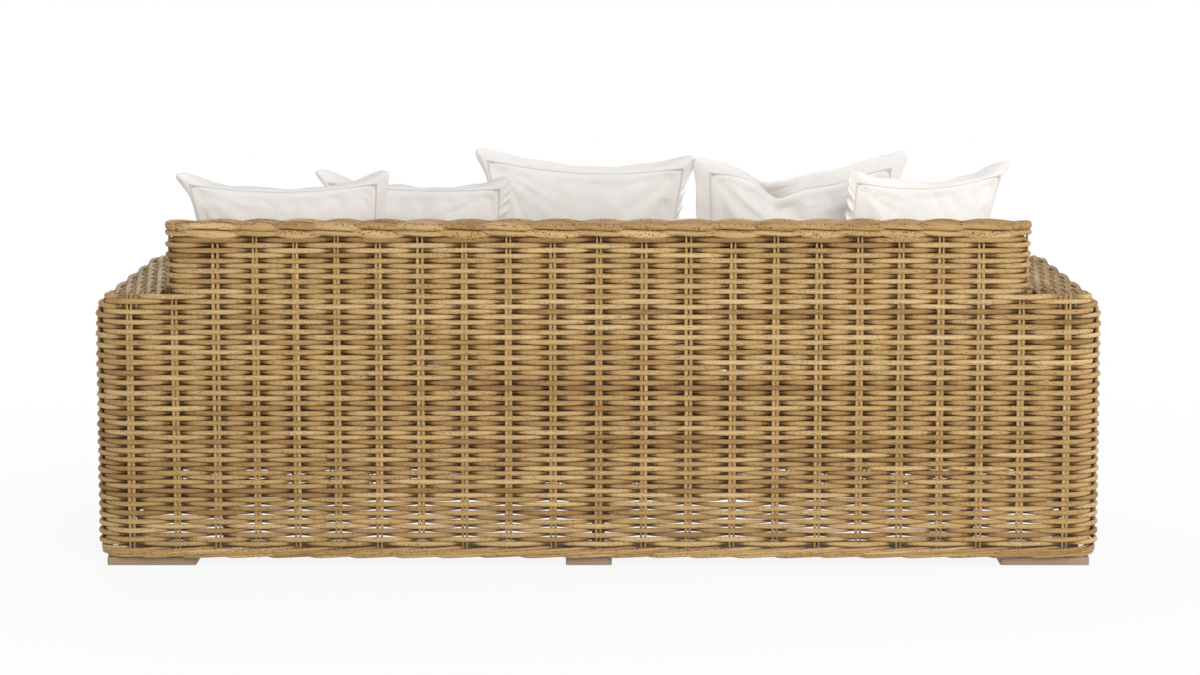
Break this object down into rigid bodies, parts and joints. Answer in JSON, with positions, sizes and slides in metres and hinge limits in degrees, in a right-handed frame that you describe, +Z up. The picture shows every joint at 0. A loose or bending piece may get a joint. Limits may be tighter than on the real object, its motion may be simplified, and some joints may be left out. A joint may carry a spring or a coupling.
{
  "type": "rattan garden sofa",
  "caption": "Rattan garden sofa: a woven skin on a tube frame, with a raised back, lower flat-topped arms, a rope border, low block feet, loose seat cushions and scatter pillows.",
  "frame": {"origin": "on the floor, under the middle of the sofa", "axes": "+Z up; +X along the sofa towards the left of a person who sits on it; the front faces -Y and the back is at +Y"},
  "size_m": [2.34, 0.94, 0.9593],
  "materials": {
    "rattan": "satin",
    "foot": "matte",
    "frame": "matte",
    "deck_webbing": "matte",
    "linen": "matte"
  },
  "bodies": {
    "sofa": {"arm_front_post_left": "frame", "arm_front_post_right": "frame", "arm_front_weave_left": "rattan", "arm_front_weave_right": "rattan", "arm_inner_weave_left": "rattan", "arm_inner_weave_right": "rattan", "arm_outer_weave_left": "rattan", "arm_outer_weave_right": "rattan", "arm_rail_left": "frame", "arm_rail_right": "frame", "arm_rear_post_left": "frame", "arm_rear_post_right": "frame", "arm_top_weave_left": "rattan", "arm_top_weave_right": "rattan", "back_corner_weave_left": "rattan", "back_corner_weave_right": "rattan", "back_end_weave_left": "rattan", "back_end_weave_right": "rattan", "back_post_left": "frame", "back_post_middle": "frame", "back_post_right": "frame", "back_rim": "rattan", "back_top_rail": "frame", "base_border_back": "rattan", "base_border_corner_back_left": "rattan", "base_border_corner_back_right": "rattan", "base_border_corner_front_left": "rattan", "base_border_corner_front_right": "rattan", "base_border_front": "rattan", "base_border_left": "rattan", "base_border_right": "rattan", "base_rail_back": "frame", "base_rail_front": "frame", "base_rail_left": "frame", "base_rail_right": "frame", "foot_back_left": "foot", "foot_back_middle": "foot", "foot_back_right": "foot", "foot_front_left": "foot", "foot_front_middle": "foot", "foot_front_right": "foot", "front_apron_weave": "rattan", "inner_back_weave": "rattan", "lower_back_weave": "rattan", "seat_bearer_left": "frame", "seat_bearer_right": "frame", "seat_deck": "deck_webbing", "seat_rail_back": "frame", "seat_rail_front": "frame", "upper_back_weave": "rattan"},
    "pillow_far_left": {"pillow_far_left": "linen"},
    "pillow_far_right": {"pillow_far_right": "linen"},
    "pillow_left": {"pillow_left": "linen"},
    "pillow_middle": {"pillow_middle": "linen"},
    "pillow_right": {"pillow_right": "linen"},
    "seat_cushion_left": {"seat_cushion_left": "linen"},
    "seat_cushion_middle": {"seat_cushion_middle": "linen"},
    "seat_cushion_right": {"seat_cushion_right": "linen"}
  },
  "joints": [
    {"name": "pillow_far_left_lift", "type": "slide", "parent": "sofa", "child": "pillow_far_left", "axis": [0, 0.2079, 0.9781], "range_m": [0, 0.45]},
    {"name": "pillow_far_right_lift", "type": "slide", "parent": "sofa", "child": "pillow_far_right", "axis": [0, 0.2079, 0.9781], "range_m": [0, 0.45]},
    {"name": "pillow_left_lift", "type": "slide", "parent": "sofa", "child": "pillow_left", "axis": [0, 0.2079, 0.9781], "range_m": [0, 0.45]},
    {"name": "pillow_middle_lift", "type": "slide", "parent": "sofa", "child": "pillow_middle", "axis": [0, 0.2079, 0.9781], "range_m": [0, 0.45]},
    {"name": "pillow_right_lift", "type": "slide", "parent": "sofa", "child": "pillow_right", "axis": [0, 0.2079, 0.9781], "range_m": [0, 0.45]},
    {"name": "seat_cushion_left_slide", "type": "slide", "parent": "sofa", "child": "seat_cushion_left", "axis": [0, -1, 0], "range_m": [0, 0.84]},
    {"name": "seat_cushion_middle_slide", "type": "slide", "parent": "sofa", "child": "seat_cushion_middle", "axis": [0, -1, 0], "range_m": [0, 0.84]},
    {"name": "seat_cushion_right_slide", "type": "slide", "parent": "sofa", "child": "seat_cushion_right", "axis": [0, -1, 0], "range_m": [0, 0.84]}
  ]
}
